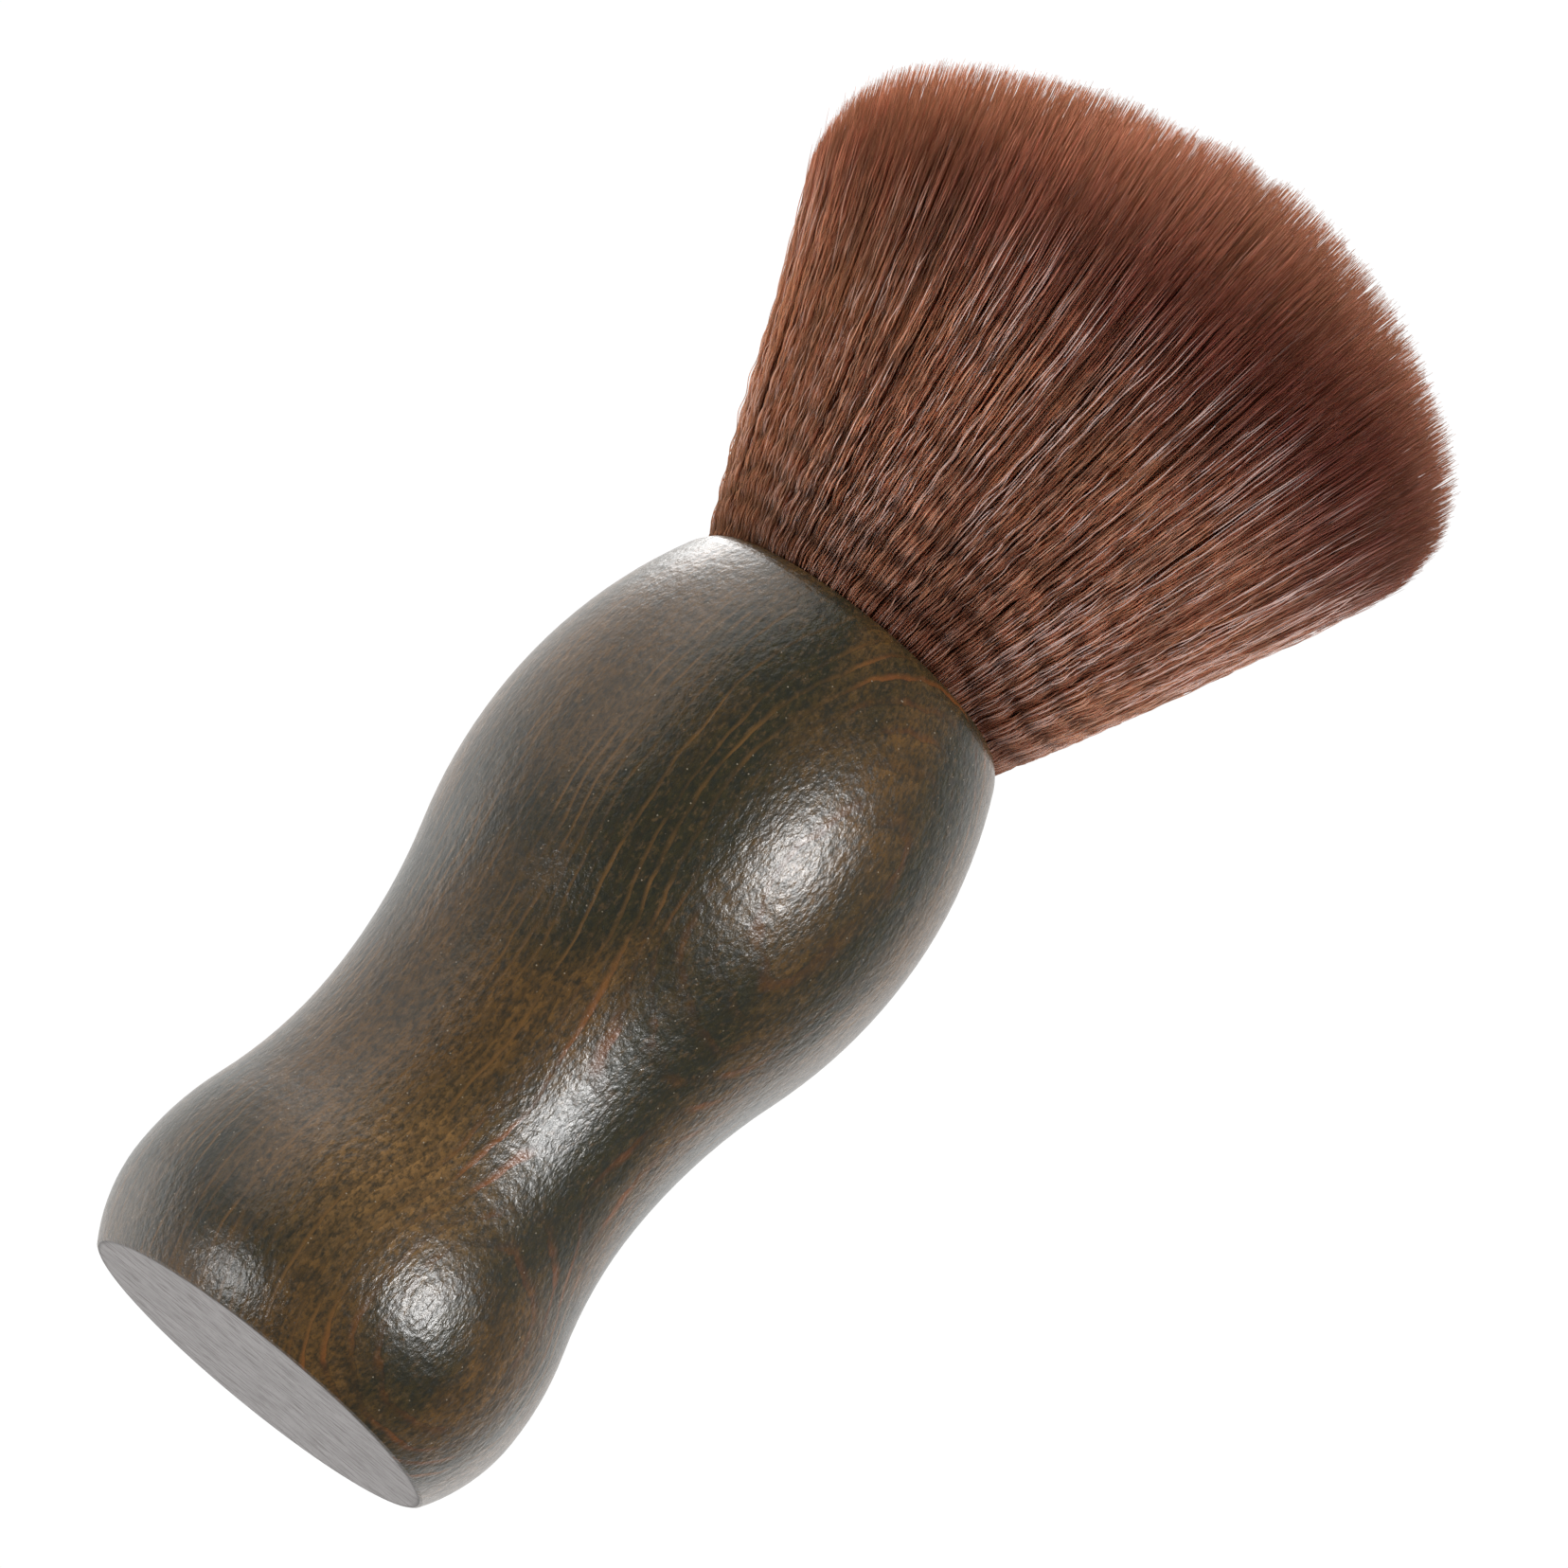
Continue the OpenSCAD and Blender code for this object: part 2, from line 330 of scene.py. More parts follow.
FAN_EDGE_RADIUS = 0.0109     # round edge between the fan's side and its domed top
FAN_WIDEST = 0.144           # height of the fan's largest diameter
MOUTH_RADIUS = 0.01915       # the bundle where it leaves the handle
ROOT_DEPTH = 0.003           # the modelled fibres start this far down inside the mouth
ROOT_SHARE = 0.92            # radius at the roots over radius at the mouth
LEAN = 0.0017                # the whole fan leans this far towards +X at its tips
TILT = 0.045                 # and its domed top rises towards +X
BOW = 0.0005                 # how far the outer fibres bow outwards, a third of the way up
BOW_PEAK = 27 / 4            # 1 over the greatest value of reach * (1 - reach) ** 2
MANTLE_SHARE = 0.86          # fibres outside this share of the radius show along their whole length
CORE_SHARE = 0.36            # fibres inside it belong to the core tuft
MIDDLE_TUFTS, OUTER_TUFTS = 6, 12
TIP_LENGTH = 0.012           # how far the inner fibres' modelled tips stand into the heart
HEART_DROP = 0.0075          # the heart's top below the tips
HEART_SHARE = 0.80           # the heart's radius over the bundle's
CRIMP_LENGTH = 0.0036        # one wave of a fibre's crimp
CRIMP_HEIGHT = 0.00020
CRIMP_SET_IN = 0.003         # the crimp is at its full height this far from the roots
WANDER_LENGTHS = 0.022, 0.050
WANDER_SET_IN = 0.03
TIP_WAVES = 0.0006           # how far the tips stand in or out of their outline, in waves round the fan
TIP_SCATTER = 0.00033        # and fibre by fibre
LOCKS = 300                  # the outer fibres gather in locks
LOCK_DEPTH = 0.0005          # how far in the deepest lock lies
LOCK_SPREAD = 0.22           # how far along a lock stays gathered, as a share of its length
LOCK_SEED = 5
SIDES = 3                    # a fibre's tube has a three-sided section
TUBE_GUIDE = 0.31, 0.17, 0.05     # sets which way the section is turned: a direction few fibres run in
TAPER_START, TAPER = 0.88, 0.75   # where along its length a tube starts to thin, and by what share
random = np.random.default_rng(20)


def tip_outline(share):
    """Radius and height of the tips at a share of the bundle's radius: a dome, then a round edge."""
    edge_x = FAN_RADIUS - FAN_EDGE_RADIUS
    rise = FAN_TOP - FAN_WIDEST
    dome = (edge_x ** 2 + rise ** 2 - FAN_EDGE_RADIUS ** 2) / (2 * (rise - FAN_EDGE_RADIUS))
    dome_z = FAN_TOP - dome
    turn = math.atan2(edge_x, FAN_WIDEST - dome_z)
    widening = edge_x - MOUTH_RADIUS, FAN_WIDEST - HANDLE_TOP
    side = math.atan2(widening[1], widening[0]) - math.asin(FAN_EDGE_RADIUS / math.hypot(*widening))
    edge_turn = math.pi - turn - side
    run = share * (dome * turn + FAN_EDGE_RADIUS * edge_turn)
    a = np.minimum(run / dome, turn)
    b = math.pi / 2 - turn - np.maximum(run - dome * turn, 0.0) / FAN_EDGE_RADIUS
    on_dome = run < dome * turn
    radius = np.where(on_dome, dome * np.sin(a), edge_x + FAN_EDGE_RADIUS * np.cos(b))
    height = np.where(on_dome, dome_z + dome * np.cos(a), FAN_WIDEST + FAN_EDGE_RADIUS * np.sin(b))
    return radius, height


def fan_point(share, angle, reach, drop):
    """Points of the fan at a share of its radius, an angle and a share of the way to the tips.

    The drop pulls a fibre's middle in towards the axis.
    """
    tip_r, tip_z = tip_outline(share)
    root_r = share * MOUTH_RADIUS * ROOT_SHARE
    root_z = HANDLE_TOP - ROOT_DEPTH
    bow = BOW * share * BOW_PEAK * reach * (1 - reach) ** 2
    radius = root_r + (tip_r - root_r) * reach + bow - drop * np.sin(np.pi * np.clip(reach, 0, 1))
    x = radius * np.cos(angle) + LEAN * np.sin(np.pi / 2 * np.minimum(reach, 1.0))
    z = root_z + (tip_z + TILT * tip_r * np.cos(angle) - root_z) * reach
    return np.stack([x, radius * np.sin(angle), z], -1)


def fibre_length(share):
    tip_r, tip_z = tip_outline(share)
    return np.hypot(tip_r - share * MOUTH_RADIUS * ROOT_SHARE, tip_z - HANDLE_TOP + ROOT_DEPTH)


def smooth_noise(x, waves, seed):
    """A smooth random function of an angle, about -1 to 1."""
    draw = np.random.default_rng(seed)
    total = np.zeros_like(x)
    for k in range(1, waves + 1):
        total += draw.normal() * np.sin(k * x + draw.uniform(0, 2 * math.pi))
    return total / math.sqrt(waves)


def gathered(angle):
    """Each fibre's lock: the angle it gathers to, how deep the lock lies and where it is tightest."""
    draw = np.random.default_rng(LOCK_SEED)
    centres = np.sort(draw.uniform(-math.pi, math.pi, LOCKS))
    depths = LOCK_DEPTH * draw.uniform(0, 1, LOCKS) ** 1.5
    heights = draw.uniform(0.25, 0.95, LOCKS)
    nearest = np.abs(angle[:, None] - centres[None, :]).argmin(axis=1)
    return centres[nearest], depths[nearest], heights[nearest]


def fibre_paths(share, angle, start, steps, stray, crimp=1.0, pull=0.0):
    """Centre lines of fibres, (fibres, steps, 3), and for each point its place along and its crimp.

    Start is the place along where each line begins, and pull is how closely fibres gather in locks.
    """
    count = len(share)
    u = start[:, None] + (1 - start[:, None]) * np.linspace(0, 1, steps)[None, :]
    length = fibre_length(share)[:, None]
    uneven = TIP_WAVES * smooth_noise(angle, 14, 8) + TIP_SCATTER * random.normal(size=count)
    reach = u * (1 + uneven[:, None] / length)
    lock, depth, tight = gathered(angle)
    gather = pull * np.exp(-((u - tight[:, None]) / LOCK_SPREAD) ** 2) * np.sin(np.pi * u ** 0.8)
    turned = angle[:, None] + (lock - angle)[:, None] * gather
    path = fan_point(share[:, None], turned, reach, (depth * (pull > 0))[:, None])
    run = reach * length
    across = np.stack([-np.sin(turned), np.cos(turned), np.zeros_like(turned)], -1)
    outwards = np.stack([np.cos(turned), np.sin(turned), np.zeros_like(turned)], -1)
    side, out, crest = crimps(angle, run, u, crimp)
    for direction, swing in ((across, side), (outwards, out)):
        path += direction * (swing + wander(run, stray))[..., None]
    return path, u, crest


def wander(run, stray):
    """The slow drift of each fibre away from its straight path."""
    wave = random.uniform(*WANDER_LENGTHS, (len(run), 1))
    phase = random.uniform(0, 2 * math.pi, (len(run), 1))
    swing = np.sin(2 * math.pi * run / wave + phase) - np.sin(phase)
    return stray[:, None] * swing * np.clip(run / WANDER_SET_IN, 0, 1)


def crimps(angle, run, u, size):
    """The fibres' fine waves: in step with their neighbours' near the mouth, and not further out."""
    count = len(run)
    wave = CRIMP_LENGTH * random.normal(1.0, 0.05, (count, 1)) * (1 + 0.35 * u ** 2)
    phase = 2.6 * smooth_noise(angle, 7, 3)[:, None] + random.normal(0, 0.5, (count, 1))
    plane = random.normal(math.pi / 2, 0.5, (count, 1))
    height = size * CRIMP_HEIGHT * random.uniform(0.5, 1.3, (count, 1))
    height = height * (1 - 0.6 * u ** 2) * np.clip(run / CRIMP_SET_IN, 0, 1)
    swing = height * np.sin(2 * math.pi * run / wave + phase)
    slow = 0.5 * height * np.sin(2 * math.pi * run / (wave * 1.7) + 2 * phase)
    out = swing * np.sin(plane)
    return swing * np.cos(plane) + slow, out, out / CRIMP_HEIGHT


def tube_corners(paths, radius):
    """Corner points of the fibres' tubes, (fibres, steps, SIDES, 3)."""
    tangent = np.gradient(paths, axis=1)
    guide = np.cross(tangent, TUBE_GUIDE)
    guide /= np.linalg.norm(guide, axis=2, keepdims=True)
    other = np.cross(tangent, guide)
    other /= np.linalg.norm(other, axis=2, keepdims=True)
    spin = (2 * math.pi * np.arange(SIDES) / SIDES)[:, None]
    ring = guide[:, :, None, :] * np.cos(spin) + other[:, :, None, :] * np.sin(spin)
    return paths[:, :, None, :] + ring * radius[:, :, None, None]


def fibre_mesh(name, fibres, thickness, tone, bands):
    """One closed tapering tube per fibre, with its tone, place along and crimp in mesh attributes."""
    paths, u, crest = fibres
    count, steps, _ = paths.shape
    tapering = np.clip((u - TAPER_START) / (1 - TAPER_START), 0, 1)
    radius = thickness[:, None] * (1 - TAPER * tapering ** 1.5)
    points = tube_corners(paths, radius)
    index = np.arange(count * steps * SIDES).reshape(count, steps, SIDES)
    ahead = np.roll(index, -1, axis=2)
    quads = np.stack([index[:, :-1], ahead[:, :-1], ahead[:, 1:], index[:, 1:]], -1).reshape(-1, 4)
    caps = np.concatenate([index[:, 0, ::-1], index[:, -1, :]])
    mesh = mesh_from(name, points.reshape(-1, 3), quads, caps)
    for title, values in (("tone", np.repeat(tone, steps)), ("along", u.ravel()), ("crest", crest.ravel())):
        layer = mesh.attributes.new(title, "FLOAT", "POINT")
        layer.data.foreach_set("value", np.repeat(values, SIDES).astype(np.float32))
    side = np.concatenate([np.tile([0, 1, 1, 0], len(quads)) + np.repeat(np.arange(len(quads)) % SIDES, 4),
                           np.tile(np.arange(SIDES), len(caps))])
    strip_uvs(mesh, np.concatenate([quads.ravel(), caps.ravel()]), side, count, steps, bands)
    return mesh


def mesh_from(name, points, quads, triangles):
    mesh = bpy.data.meshes.new(name)
    mesh.vertices.add(len(points))
    mesh.vertices.foreach_set("co", points.astype(np.float32).ravel())
    corners = np.concatenate([quads.ravel(), triangles.ravel()]).astype(np.int32)
    mesh.loops.add(len(corners))
    mesh.loops.foreach_set("vertex_index", corners)
    mesh.polygons.add(len(quads) + len(triangles))
    starts = np.concatenate([4 * np.arange(len(quads)), 4 * len(quads) + 3 * np.arange(len(triangles))])
    mesh.polygons.foreach_set("loop_start", starts.astype(np.int32))
    mesh.update(calc_edges=True)
    mesh.shade_smooth()
    return mesh


def strip_uvs(mesh, corners, side, count, steps, bands):
    """Lays each fibre out as a narrow upright strip, in rows of strips, in a UV layer."""
    fibre = corners // (steps * SIDES)
    step = (corners // SIDES) % steps
    per_band = math.ceil(count / bands)
    across = (fibre % per_band + 0.1 + 0.8 * side / SIDES) / per_band
    upward = (fibre // per_band + 0.02 + 0.96 * step / (steps - 1)) / bands
    layer = mesh.uv_layers.new(name="OFBake")
    layer.data.foreach_set("uv", np.stack([across, upward], -1).astype(np.float32).ravel())


# ---------------------------------------------------------------- fibre pieces

def add_piece(name, mesh, material, *nodes):
    mesh.materials.append(material)
    piece = bpy.data.objects.new(name, mesh)
    bpy.context.scene.collection.objects.link(piece)
    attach(piece, "root")
    for node in nodes:
        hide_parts(node)
    return piece


def sector(angle, sectors):
    """Which of the equal sectors round the axis an angle lies in, from 1."""
    return (np.floor((angle % (2 * math.pi)) / (2 * math.pi) * sectors)).astype(int) + 1


# name, fibres, points along each, inner and outer share of the radius, tones, crimp, stray, radii
MANTLE_LAYERS = (("under", 4200, 44, MANTLE_SHARE, 0.97, (0.0, 0.88), 0.9, 0.00009, (0.000040, 0.000066)),
                 ("outer", 2900, 84, 0.950, 1.0, (0.0, 0.895), 0.85, 0.00009, (0.000040, 0.000066)),
                 # the strand layer's tones are the highest, so its fibres carry the painted highlights
                 ("strand", 460, 110, 0.975, 1.008, (0.88, 1.0), 0.85, 0.00016, (0.000056, 0.000086)))
MANTLE_PULL = 0.26
INNER_FIBRES, INNER_STEPS = 15000, 9
INNER_STRAY = 0.00006
INNER_RADII = 0.000060, 0.000085
INNER_BANDS = 6              # rows of strips in the inner pieces' UVs
HEART_COLUMNS, HEART_ROWS, HEART_RINGS = 900, 40, 24
HEART_RIDGE, HEART_GRAIN = 0.00022, 0.00012
HEART_LENGTHWISE = 4         # the relief also moves points along the bundle, by this much per metre
HEART_SEED = 31


def mantle(material):
    """The outer fibres, whole from the mouth to the tips, in pieces that each stand for an outer tuft."""
    for label, count, steps, low, high, tones, crimp, stray, radii in MANTLE_LAYERS:
        share = high - (high - low) * np.sqrt(random.uniform(0, 1, count))
        angle = random.uniform(-math.pi, math.pi, count)
        strays = stray * random.lognormal(0.15, 0.65, count)
        fibres = fibre_paths(share, angle, np.zeros(count), steps, strays, crimp, MANTLE_PULL)
        thickness = random.uniform(*radii, count)
        tone = random.uniform(*tones, count)
        where = sector(angle, OUTER_TUFTS)
        for k in range(1, OUTER_TUFTS + 1):
            here = where == k
            chosen = [values[here] for values in fibres]
            mesh = fibre_mesh(f"{label}_fibres_{k}", chosen, thickness[here], tone[here], 1)
            add_piece(f"{label}_fibres_{k}", mesh, material, f"outer_tuft_{k}")


def inner_tips(material):
    """The tips of the fibres inside the mantle, which show only on the domed top."""
    count = INNER_FIBRES
    share = MANTLE_SHARE * np.sqrt(random.uniform(0, 1, count))
    angle = random.uniform(-math.pi, math.pi, count)
    start = 1 - TIP_LENGTH / fibre_length(share)
    stray = INNER_STRAY * random.lognormal(0.0, 0.7, count)
    fibres = fibre_paths(share, angle, start, INNER_STEPS, stray)
    thickness = random.uniform(*INNER_RADII, count)
    tone = random.uniform(0, 1, count)
    where = np.where(share < CORE_SHARE, 0, sector(angle, MIDDLE_TUFTS))
    for k in range(MIDDLE_TUFTS + 1):
        here = where == k
        name, node = (f"middle_tips_{k}", f"middle_tuft_{k}") if k else ("core_tips", "core_tuft")
        chosen = [values[here] for values in fibres]
        mesh = fibre_mesh(name, chosen, thickness[here], tone[here], INNER_BANDS)
        add_piece(name, mesh, material, node)


def heart(material):
    """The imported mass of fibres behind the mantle, ridged like a bundle, which fills every gap."""
    columns, rows, rings = HEART_COLUMNS, HEART_ROWS, HEART_RINGS
    angle = np.linspace(-math.pi, math.pi, columns, endpoint=False)
    draw = np.random.default_rng(HEART_SEED)
    ridge = HEART_RIDGE * draw.normal(size=columns)
    top = 1 - HEART_DROP / float(fibre_length(np.array([HEART_SHARE]))[0])
    layers = [(HEART_SHARE, top * k / (rows - 1)) for k in range(rows)]
    layers += [(HEART_SHARE * (1 - k / (rings + 1)), top) for k in range(1, rings + 1)]
    points = []
    for share, reach in layers:
        rough = ridge + HEART_GRAIN * draw.normal(size=columns)
        reaches = reach * (1 + rough * HEART_LENGTHWISE)
        points.append(fan_point(np.full(columns, share), angle, reaches, -rough))
    points = np.array(points)
    index = np.arange(len(layers) * columns).reshape(len(layers), columns)
    ahead = np.roll(index, -1, axis=1)
    quads = np.stack([index[:-1], ahead[:-1], ahead[1:], index[1:]], -1).reshape(-1, 4)
    ends = np.array([points[0].mean(axis=0), points[-1].mean(axis=0)])
    first, last = len(layers) * columns, len(layers) * columns + 1
    caps = [np.stack([ahead[0], index[0], np.full(columns, first)], -1),
            np.stack([index[-1], ahead[-1], np.full(columns, last)], -1)]
    points = np.concatenate([points.reshape(-1, 3), ends])
    mesh = mesh_from("fibre_heart", points, quads, np.concatenate(caps))
    middle_tufts = (f"middle_tuft_{k}" for k in range(1, MIDDLE_TUFTS + 1))
    add_piece("fibre_heart", mesh, material, "core_tuft", *middle_tufts)


# ---------------------------------------------------------------- fibre material

DARK_FIBRE, BRIGHT_FIBRE = (0.520, 0.180, 0.112), (1.000, 0.640, 0.450)
# the trough colour is painted shade, darkening the crimps' troughs
ROOTS, TROUGH_SHADE = (0.185, 0.050, 0.031), (0.095, 0.028, 0.019)
# the pale strand colour is painted highlight
PAINTED_GLINT_STRANDS, SEEN_THROUGH = (1.000, 0.880, 0.880), (1.000, 0.700, 0.490)
TRANSLUCENCE = 0.64
HEART_DARK, HEART_PALE = (0.120, 0.040, 0.026), (0.320, 0.120, 0.074)

# cells per metre across and along, shift of the pattern, the span it sets in over, most, tint
FIBRE_STREAKS = (((900.0, 420.0), None, (0.38, 0.62), 0.38, (0.260, 0.090, 0.056)),
                 ((120.0, 9.0), None, (0.44, 0.64), 0.40, (0.140, 0.042, 0.028)),
                 ((420.0, 14.0), None, (0.50, 0.62), 0.34, (0.900, 0.480, 0.260)),
                 # the last row is painted shade: darker streaks along the fibres
                 ((360.0, 12.0), (7.0, 3.0, 0.0), (0.52, 0.64), 0.46, (0.140, 0.043, 0.030)))

# the span along a fibre over which it sets in, what else it goes by and how, tint.
# The last one is painted shade: it darkens the tips towards +X, as they are in the photograph.
TIP_TINTS = (((0.62, 0.98), "tone", (0.95, 0.1, 0.50, 1.0), (0.840, 0.420, 0.560)),
             ((0.60, 0.85), "tone", (0.50, 0.20, 0.0, 0.62), (0.420, 0.340, 0.360)),
             ((0.60, 0.94), "x", (-0.030, 0.024, 0.0, 0.90), (0.340, 0.200, 0.260)))


def attribute(tree, name):
    node = tree.nodes.new("ShaderNodeAttribute")
    node.attribute_name = name
    return node.outputs["Fac"]


def fibre_colour(tree, point, tone):
    """Mahogany at the roots, orange-brown along, pinker and darker at the tips; painted shade in dark
    streaks, in the crimps' troughs and on the tips towards +X; painted highlights on pale strands.
    """
    along, crest = attribute(tree, "along"), attribute(tree, "crest")
    colour = mix_colour(tree, ramp(tree, tone, 0.0, 0.9), DARK_FIBRE, BRIGHT_FIBRE)
    for cells, shift, span, most, tint in FIBRE_STREAKS:
        place = stretched(tree, point, *cells)
        if shift is not None:
            place = vector_maths(tree, "ADD", place, shift)
        colour = overlaid(tree, colour, noise(tree, place, detail=2.0), span, most, tint)
    guides = {"tone": tone, "x": vector_maths(tree, "DOT_PRODUCT", point, (1.0, 0.0, 0.0))}
    for span, guide, slope, tint in TIP_TINTS:
        share = product(tree, ramp(tree, along, *span), ramp(tree, guides[guide], *slope))
        colour = mix_colour(tree, share, colour, tint, "MULTIPLY")
    colour = overlaid(tree, colour, along, (0.34, 0.0), 0.80, ROOTS)
    # painted shade: fibres darken in the crimps' troughs, most near the mouth
    trough = ramp(tree, crest, 0.30, -0.55)
    deep = product(tree, trough, ramp(tree, along, 0.50, 0.12, 0.60, 0.94))
    colour = mix_colour(tree, deep, colour, TROUGH_SHADE)
    catch = noise(tree, stretched(tree, point, 190.0, 26.0), detail=1.0)
    # the highest tones get painted highlights: pale strands that stand for glints, fainter at both ends, in
    # troughs and in patches along them
    pale = product(tree, ramp(tree, tone, 0.87, 0.93), ramp(tree, along, 1.0, 0.80, 0.10, 1.0),
                   ramp(tree, along, 0.06, 0.34, 0.22, 1.0), ramp(tree, catch, 0.36, 0.50, 0.15, 1.0),
                   ramp(tree, trough, 0.2, 1.0, 1.0, 0.50))
    return mix_colour(tree, pale, colour, PAINTED_GLINT_STRANDS)


def fibre_material():
    """Glossy, slightly see-through nylon."""
    material, tree, output = new_material("crimped_fibre")
    tone = attribute(tree, "tone")
    colour = fibre_colour(tree, object_point(tree), tone)
    shader = principled(tree, colour, ramp(tree, tone, 0.0, 1.0, 0.36, 0.24))
    glow = tree.nodes.new("ShaderNodeBsdfTranslucent")
    feed(tree, glow.inputs["Color"], mix_colour(tree, 0.72, colour, SEEN_THROUGH))
    mix = mixed_shader(tree, TRANSLUCENCE, shader, glow)
    tree.links.new(mix.outputs[0], output.inputs["Surface"])
    return material


def heart_material():
    """The shaded depth of the bundle, streaked along the fibres."""
    material, tree, output = new_material("fibre_depth")
    streak = noise(tree, stretched(tree, object_point(tree), 2600.0, 160.0), detail=3.0, roughness=0.6)
    colour = mix_colour(tree, ramp(tree, streak, 0.35, 0.65), HEART_DARK, HEART_PALE)
    rough = ramp(tree, streak, 0.3, 0.7, 0.75, 0.60)
    shader = principled(tree, colour, rough, bump(tree, streak, 0.0002, 0.8))
    tree.links.new(shader.outputs[0], output.inputs["Surface"])
    return material


# ---------------------------------------------------------------- hidden parts

# node: material name, darker and paler tone, then cells per metre, roughness, relief, twisted like thread
HIDDEN = {"knot_cup": ("moulded_cup", (0.028, 0.028, 0.031), (0.062, 0.060, 0.062),
                       900.0, 0.42, 0.00002, False),
          "resin_plug": ("amber_resin", (0.300, 0.160, 0.050), (0.520, 0.330, 0.130),
                         260.0, 0.14, 0.00005, False),
          "glue_bed": ("milky_glue", (0.560, 0.500, 0.380), (0.780, 0.730, 0.610),
                       380.0, 0.34, 0.00008, False),
          "binding_thread": ("waxed_thread", (0.330, 0.290, 0.230), (0.700, 0.660, 0.580),
                             1500.0, 0.62, 0.00010, True)}


def pitted(tree, point, cells):
    """0 in small pits or bubbles and 1 between them."""
    pits = tree.nodes.new("ShaderNodeTexVoronoi")
    pits.inputs["Scale"].default_value = cells * 2.2
    feed(tree, pits.inputs["Vector"], point)
    return ramp(tree, pits.outputs["Distance"], 0.10, 0.26)


def plied(tree, point, cells):
    """The slanting waves of a twisted thread, from 0 to 1."""
    slant = vector_maths(tree, "DOT_PRODUCT", point, (2.0 * cells, 2.0 * cells, 5.0 * cells))
    return maths(tree, "ADD", product(tree, maths(tree, "SINE", slant), 0.5), 0.5)


def hidden_material(name, dark, pale, cells, rough, relief, twisted):
    """A cloudy, finely grained material, pitted or twisted like thread."""
    material, tree, output = new_material(name)
    point = object_point(tree)
    cloud = noise(tree, stretched(tree, point, cells, cells * 0.8), detail=3.0, roughness=0.6)
    height = plied(tree, point, cells) if twisted else pitted(tree, point, cells)
    colour = mix_colour(tree, ramp(tree, cloud, 0.34, 0.66), dark, pale)
    colour = mix_colour(tree, ramp(tree, height, 0.0, 0.8, 0.55, 0.0), colour, dark)
    roughness = ramp(tree, cloud, 0.3, 0.7, rough, rough + 0.12)
    shader = principled(tree, colour, roughness, bump(tree, height, relief, 0.6))
    tree.links.new(shader.outputs[0], output.inputs["Surface"])
    return material


# ---------------------------------------------------------------- light and stage

BRIGHT_SIDE = -0.28, 0.95, 0.10     # the surround is brightest behind the object
SURROUND = 0.10, 1.18               # its least and greatest strength
BACKDROP = 1.02                     # what the camera itself sees of it

# name, azimuth, elevation, distance, size and watts: azimuth 0 is on the camera's side, 90 towards +X
SOFTBOXES = (("key", 40.0, 10.0, 1.0, 0.30, 9.0),
             ("fill", -50.0, -39.0, 1.0, 0.27, 3.2),
             ("top_left", -150.0, 50.0, 1.1, 1.0, 14.0),
             ("veil", -60.0, 12.0, 1.1, 0.7, 1.2),
             ("crown", -75.0, 50.0, 1.1, 1.0, 3.0),
             ("rim_left", -118.0, -18.0, 1.1, 0.8, 1.3),
             ("rim_right", 138.0, -10.0, 1.1, 0.8, 1.0))


def make_world():
    """A pale surround, plain white to the camera and brighter behind the object for its light."""
    world = bpy.data.worlds.new("studio")
    bpy.context.scene.world = world
    world.use_nodes = True
    tree = world.node_tree
    tree.nodes.clear()
    output = tree.nodes.new("ShaderNodeOutputWorld")
    direction = tree.nodes.new("ShaderNodeTexCoord").outputs["Generated"]
    behind = vector_maths(tree, "DOT_PRODUCT", direction, BRIGHT_SIDE)
    strength = ramp(tree, behind, -0.40, 0.66, *SURROUND)
    shown = tree.nodes.new("ShaderNodeLightPath").outputs["Is Camera Ray"]
    level = tree.nodes.new("ShaderNodeMix")
    feed(tree, level.inputs["Factor"], shown)
    feed(tree, level.inputs["A"], strength)
    feed(tree, level.inputs["B"], BACKDROP)
    background = tree.nodes.new("ShaderNodeBackground")
    background.inputs["Color"].default_value = (1.0, 1.0, 1.0, 1.0)
    tree.links.new(level.outputs["Result"], background.inputs["Strength"])
    tree.links.new(background.outputs[0], output.inputs["Surface"])


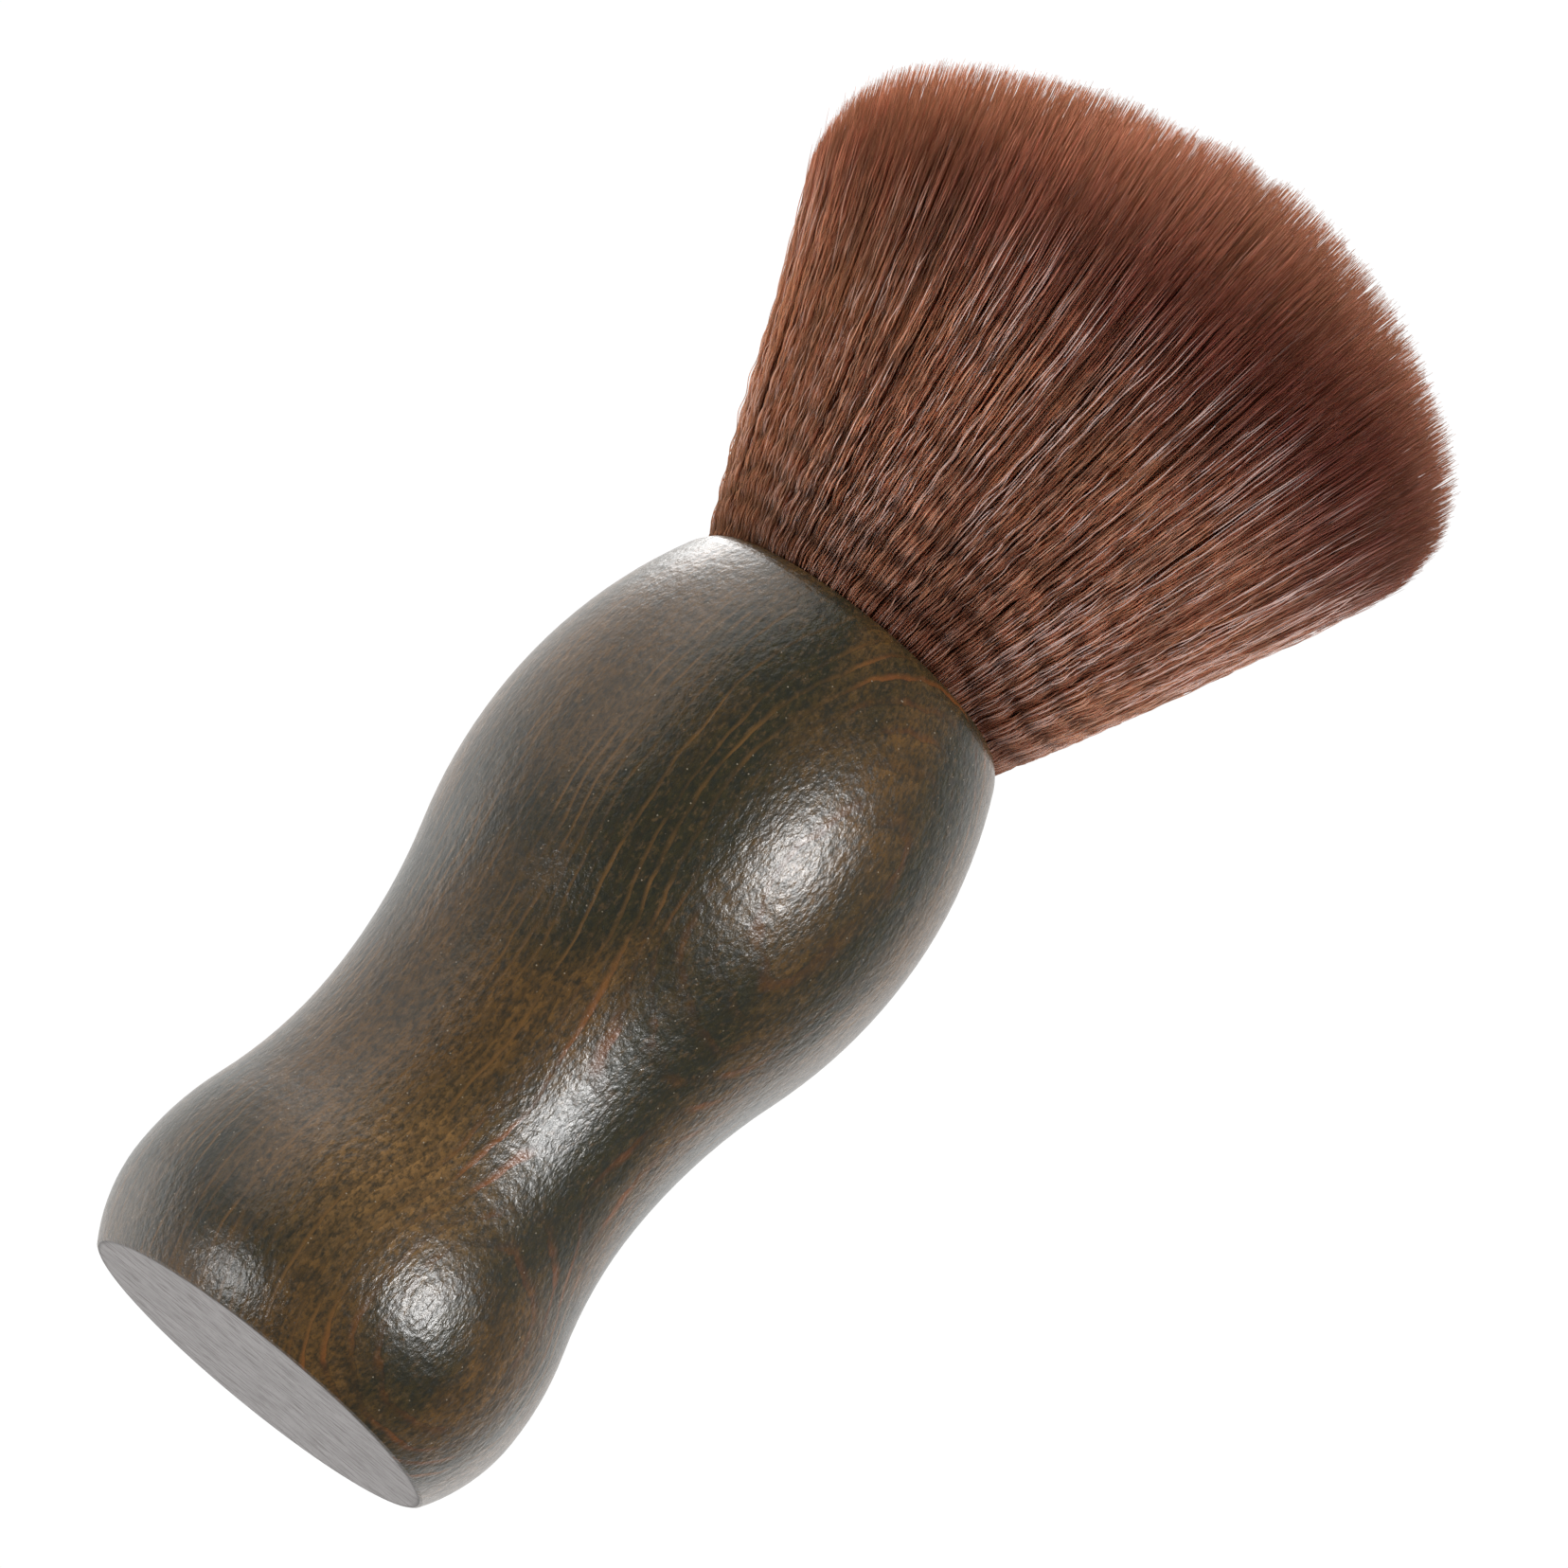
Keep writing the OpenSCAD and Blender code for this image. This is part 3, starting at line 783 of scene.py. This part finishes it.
def make_softbox(name, azimuth, elevation, distance, size, watts):
    """A round soft light aimed at the brush's middle."""
    data = bpy.data.lights.new(name, "AREA")
    data.shape = "DISK"
    data.size = size
    data.energy = watts
    light = bpy.data.objects.new(name, data)
    bpy.context.scene.collection.objects.link(light)
    a, e = math.radians(azimuth), math.radians(elevation)
    away = Vector((math.sin(a) * math.cos(e), -math.cos(a) * math.cos(e), math.sin(e)))
    centre = Vector((0.0, 0.0, FAN_TOP / 2))
    light.location = centre + away * distance
    light.rotation_mode = "QUATERNION"
    light.rotation_quaternion = (-away).to_track_quat("-Z", "Y")
    light.visible_camera = False


FLOOR_RADIUS, FLOOR_GAP = 1.2, 0.0002   # the gap is below the butt face
FLOOR_FADE = 0.10, 0.75      # it fades out between these distances from the axis


def make_floor():
    """A pale floor that fades into the white surround and shows only from above."""
    place = (0, 0, -FLOOR_GAP)
    bpy.ops.mesh.primitive_circle_add(vertices=96, radius=FLOOR_RADIUS, fill_type="NGON", location=place)
    floor = bpy.context.object
    floor.name = "floor"
    material, tree, output = new_material("pale_floor")
    diffuse = tree.nodes.new("ShaderNodeBsdfDiffuse")
    diffuse.inputs["Color"].default_value = (0.86, 0.86, 0.86, 1.0)
    clear = tree.nodes.new("ShaderNodeBsdfTransparent")
    fade = ramp(tree, vector_maths(tree, "LENGTH", object_point(tree)), *FLOOR_FADE)
    back = tree.nodes.new("ShaderNodeNewGeometry").outputs["Backfacing"]
    mix = mixed_shader(tree, maths(tree, "MAXIMUM", fade, back), diffuse, clear)
    tree.links.new(mix.outputs[0], output.inputs["Surface"])
    floor.data.materials.append(material)
    for kind in ("visible_diffuse", "visible_glossy", "visible_transmission", "visible_shadow"):
        setattr(floor, kind, False)


make_camera()
bpy.context.scene.view_settings.view_transform = "Standard"
make_world()
for softbox in SOFTBOXES:
    make_softbox(*softbox)
make_floor()

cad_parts["handle"].data.materials[0] = stained_wood()
for node, finish in HIDDEN.items():
    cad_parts[node].data.materials[0] = hidden_material(*finish)

fibre = fibre_material()
mantle(fibre)
inner_tips(fibre)
heart(heart_material())
